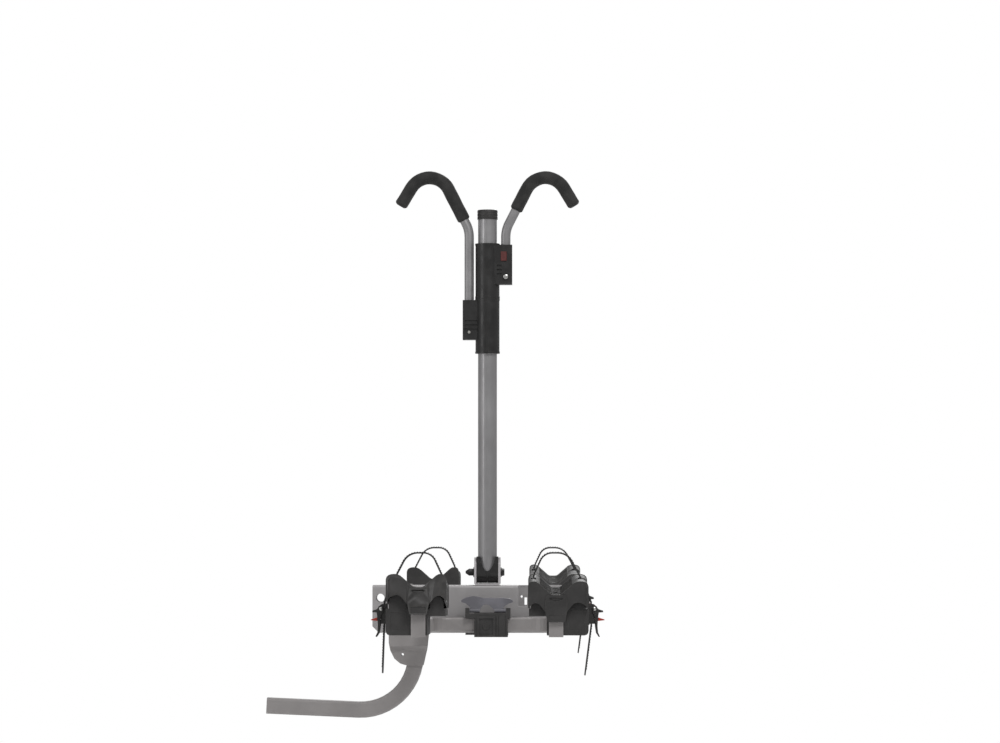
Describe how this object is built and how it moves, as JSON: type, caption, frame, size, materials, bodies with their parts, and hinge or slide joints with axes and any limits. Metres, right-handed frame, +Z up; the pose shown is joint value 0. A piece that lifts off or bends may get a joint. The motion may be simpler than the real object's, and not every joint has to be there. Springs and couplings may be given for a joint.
{
  "type": "hitch mounted bike rack",
  "caption": "Platform bike rack for a receiver hitch: bent shank, tilting spine, folding mast with sliding foam hooks, folding strapped wheel cups.",
  "frame": {"origin": "centre of the hitch shank's free end, where it goes into the receiver", "axes": "+X away from the vehicle, +Y towards the far pair of wheel cups, +Z up"},
  "size_m": [0.6711, 1.3384, 1.1039],
  "materials": {
    "silver_powder_coat": "satin silver-grey powder coat",
    "light_powder_coat": "satin light grey powder coat",
    "zinc_plate": "bright zinc plate",
    "black_steel": "black-oxide steel",
    "black_plastic": "fine matt moulded black nylon",
    "grey_plastic": "matt dark grey nylon",
    "black_foam": "matt closed-cell foam rubber",
    "black_strap": "satin flexible moulded strap",
    "red_plastic": "satin red moulded plastic"
  },
  "bodies": {
    "hitch": {"hitch_tube": "silver_powder_coat", "gusset_near": "silver_powder_coat", "gusset_far": "silver_powder_coat", "tilt_bolt": "zinc_plate", "tilt_nut": "zinc_plate"},
    "lock_pin": {"tilt_pin": "zinc_plate"},
    "platform": {"spine": "silver_powder_coat", "mast_bracket": "light_powder_coat", "mast_bolt": "black_steel", "near_block": "black_plastic", "far_block": "black_plastic"},
    "mast": {"mast_tube": "silver_powder_coat", "mast_cap": "black_plastic", "mast_liner_left": "black_plastic", "mast_liner_right": "black_plastic"},
    "knob": {"mast_knob": "black_plastic"},
    "upper_carriage": {"upper_collar": "black_plastic", "right_arm": "silver_powder_coat", "right_foam": "black_foam", "upper_block_bolt": "zinc_plate"},
    "lower_carriage": {"lower_collar": "black_plastic", "left_arm": "silver_powder_coat", "left_foam": "black_foam", "lower_block_bolt": "zinc_plate"},
    "upper_release": {"upper_button": "red_plastic"},
    "lower_release": {"lower_button": "red_plastic"},
    "near_wheels": {"near_frame": "silver_powder_coat", "near_sleeve": "zinc_plate", "near_left_base": "black_plastic", "near_left_strap": "black_strap", "near_left_ratchet": "black_plastic", "near_right_base": "black_plastic", "near_right_strap": "black_strap", "near_right_ratchet": "black_plastic"},
    "far_wheels": {"far_frame": "silver_powder_coat", "far_sleeve": "zinc_plate", "far_left_base": "black_plastic", "far_left_strap": "black_strap", "far_left_ratchet": "black_plastic", "far_right_base": "black_plastic", "far_right_strap": "black_strap", "far_right_ratchet": "black_plastic"},
    "near_catch": {"near_latch": "grey_plastic"},
    "near_left_rocker": {"near_left_trough": "black_plastic"},
    "near_left_hand_lever": {"near_left_lever": "black_plastic"},
    "near_left_release_tab": {"near_left_tab": "red_plastic"},
    "near_right_rocker": {"near_right_trough": "black_plastic"},
    "near_right_hand_lever": {"near_right_lever": "black_plastic"},
    "near_right_release_tab": {"near_right_tab": "red_plastic"},
    "far_catch": {"far_latch": "grey_plastic"},
    "far_left_rocker": {"far_left_trough": "black_plastic"},
    "far_left_hand_lever": {"far_left_lever": "black_plastic"},
    "far_left_release_tab": {"far_left_tab": "red_plastic"},
    "far_right_rocker": {"far_right_trough": "black_plastic"},
    "far_right_hand_lever": {"far_right_lever": "black_plastic"},
    "far_right_release_tab": {"far_right_tab": "red_plastic"}
  },
  "joints": [
    {"name": "lock_pin_slide", "type": "slide", "parent": "hitch", "child": "lock_pin", "axis": [0, 1, 0], "range_m": [-0.058, 0]},
    {"name": "platform_tilt", "type": "hinge", "parent": "hitch", "child": "platform", "pos_m": [0.2884, 0, 0.228], "axis": [0, -1, 0], "range_deg": [0, 90]},
    {"name": "mast_fold", "type": "hinge", "parent": "platform", "child": "mast", "pos_m": [0.4444, 0, 0.2685], "axis": [1, 0, 0], "range_deg": [0, 90]},
    {"name": "knob_spin", "type": "hinge", "parent": "platform", "child": "knob", "pos_m": [0.4176, 0, 0.2685], "axis": [-1, 0, 0], "continuous": true},
    {"name": "upper_carriage_slide", "type": "slide", "parent": "mast", "child": "upper_carriage", "axis": [0, 0, 1], "range_m": [0, 0.045]},
    {"name": "lower_carriage_slide", "type": "slide", "parent": "mast", "child": "lower_carriage", "axis": [0, 0, 1], "range_m": [-0.3, 0]},
    {"name": "upper_release_press", "type": "slide", "parent": "upper_carriage", "child": "upper_release", "axis": [0, 1, 0], "range_m": [0, 0.003], "stiffness_N_per_m": 400},
    {"name": "lower_release_press", "type": "slide", "parent": "lower_carriage", "child": "lower_release", "axis": [0, -1, 0], "range_m": [0, 0.003], "stiffness_N_per_m": 400},
    {"name": "near_wheels_fold", "type": "hinge", "parent": "platform", "child": "near_wheels", "pos_m": [0.4524, -0.049, 0.164], "axis": [-1, 0, 0], "range_deg": [0, 70]},
    {"name": "near_catch_squeeze", "type": "hinge", "parent": "platform", "child": "near_catch", "pos_m": [0.4444, -0.066, 0.193], "axis": [1, 0, 0], "range_deg": [0, 25], "stiffness_Nm_per_rad": 0.5},
    {"name": "near_left_rock", "type": "hinge", "parent": "near_wheels", "child": "near_left_rocker", "pos_m": [0.3254, -0.55908, 0.22091], "axis": [1, 0, 0], "range_deg": [0, 7.6]},
    {"name": "near_left_lever_pull", "type": "hinge", "parent": "near_wheels", "child": "near_left_hand_lever", "pos_m": [0.2539, -0.55929, 0.20891], "axis": [0, 0.9998, -0.0174], "range_deg": [0, 60]},
    {"name": "near_left_tab_press", "type": "hinge", "parent": "near_wheels", "child": "near_left_release_tab", "pos_m": [0.2519, -0.55962, 0.18992], "axis": [0, 0.9998, -0.0174], "range_deg": [0, 12], "stiffness_Nm_per_rad": 0.1},
    {"name": "near_right_rock", "type": "hinge", "parent": "near_wheels", "child": "near_right_rocker", "pos_m": [0.5794, -0.55908, 0.22091], "axis": [-1, 0, 0], "range_deg": [0, 7.6]},
    {"name": "near_right_lever_pull", "type": "hinge", "parent": "near_wheels", "child": "near_right_hand_lever", "pos_m": [0.6509, -0.55929, 0.20891], "axis": [0, -0.9998, 0.0174], "range_deg": [0, 60]},
    {"name": "near_right_tab_press", "type": "hinge", "parent": "near_wheels", "child": "near_right_release_tab", "pos_m": [0.6529, -0.55962, 0.18992], "axis": [0, -0.9998, 0.0174], "range_deg": [0, 12], "stiffness_Nm_per_rad": 0.1},
    {"name": "far_wheels_fold", "type": "hinge", "parent": "platform", "child": "far_wheels", "pos_m": [0.4524, 0.049, 0.164], "axis": [1, 0, 0], "range_deg": [0, 70]},
    {"name": "far_catch_squeeze", "type": "hinge", "parent": "platform", "child": "far_catch", "pos_m": [0.4444, 0.066, 0.193], "axis": [-1, 0, 0], "range_deg": [0, 25], "stiffness_Nm_per_rad": 0.5},
    {"name": "far_left_rock", "type": "hinge", "parent": "far_wheels", "child": "far_left_rocker", "pos_m": [0.3254, 0.55908, 0.22091], "axis": [1, 0, 0], "range_deg": [0, 7.6]},
    {"name": "far_left_lever_pull", "type": "hinge", "parent": "far_wheels", "child": "far_left_hand_lever", "pos_m": [0.2539, 0.55929, 0.20891], "axis": [0, 0.9998, 0.0174], "range_deg": [0, 60]},
    {"name": "far_left_tab_press", "type": "hinge", "parent": "far_wheels", "child": "far_left_release_tab", "pos_m": [0.2519, 0.55962, 0.18992], "axis": [0, 0.9998, 0.0174], "range_deg": [0, 12], "stiffness_Nm_per_rad": 0.1},
    {"name": "far_right_rock", "type": "hinge", "parent": "far_wheels", "child": "far_right_rocker", "pos_m": [0.5794, 0.55908, 0.22091], "axis": [-1, 0, 0], "range_deg": [0, 7.6]},
    {"name": "far_right_lever_pull", "type": "hinge", "parent": "far_wheels", "child": "far_right_hand_lever", "pos_m": [0.6509, 0.55929, 0.20891], "axis": [0, -0.9998, -0.0174], "range_deg": [0, 60]},
    {"name": "far_right_tab_press", "type": "hinge", "parent": "far_wheels", "child": "far_right_release_tab", "pos_m": [0.6529, 0.55962, 0.18992], "axis": [0, -0.9998, -0.0174], "range_deg": [0, 12], "stiffness_Nm_per_rad": 0.1}
  ]
}
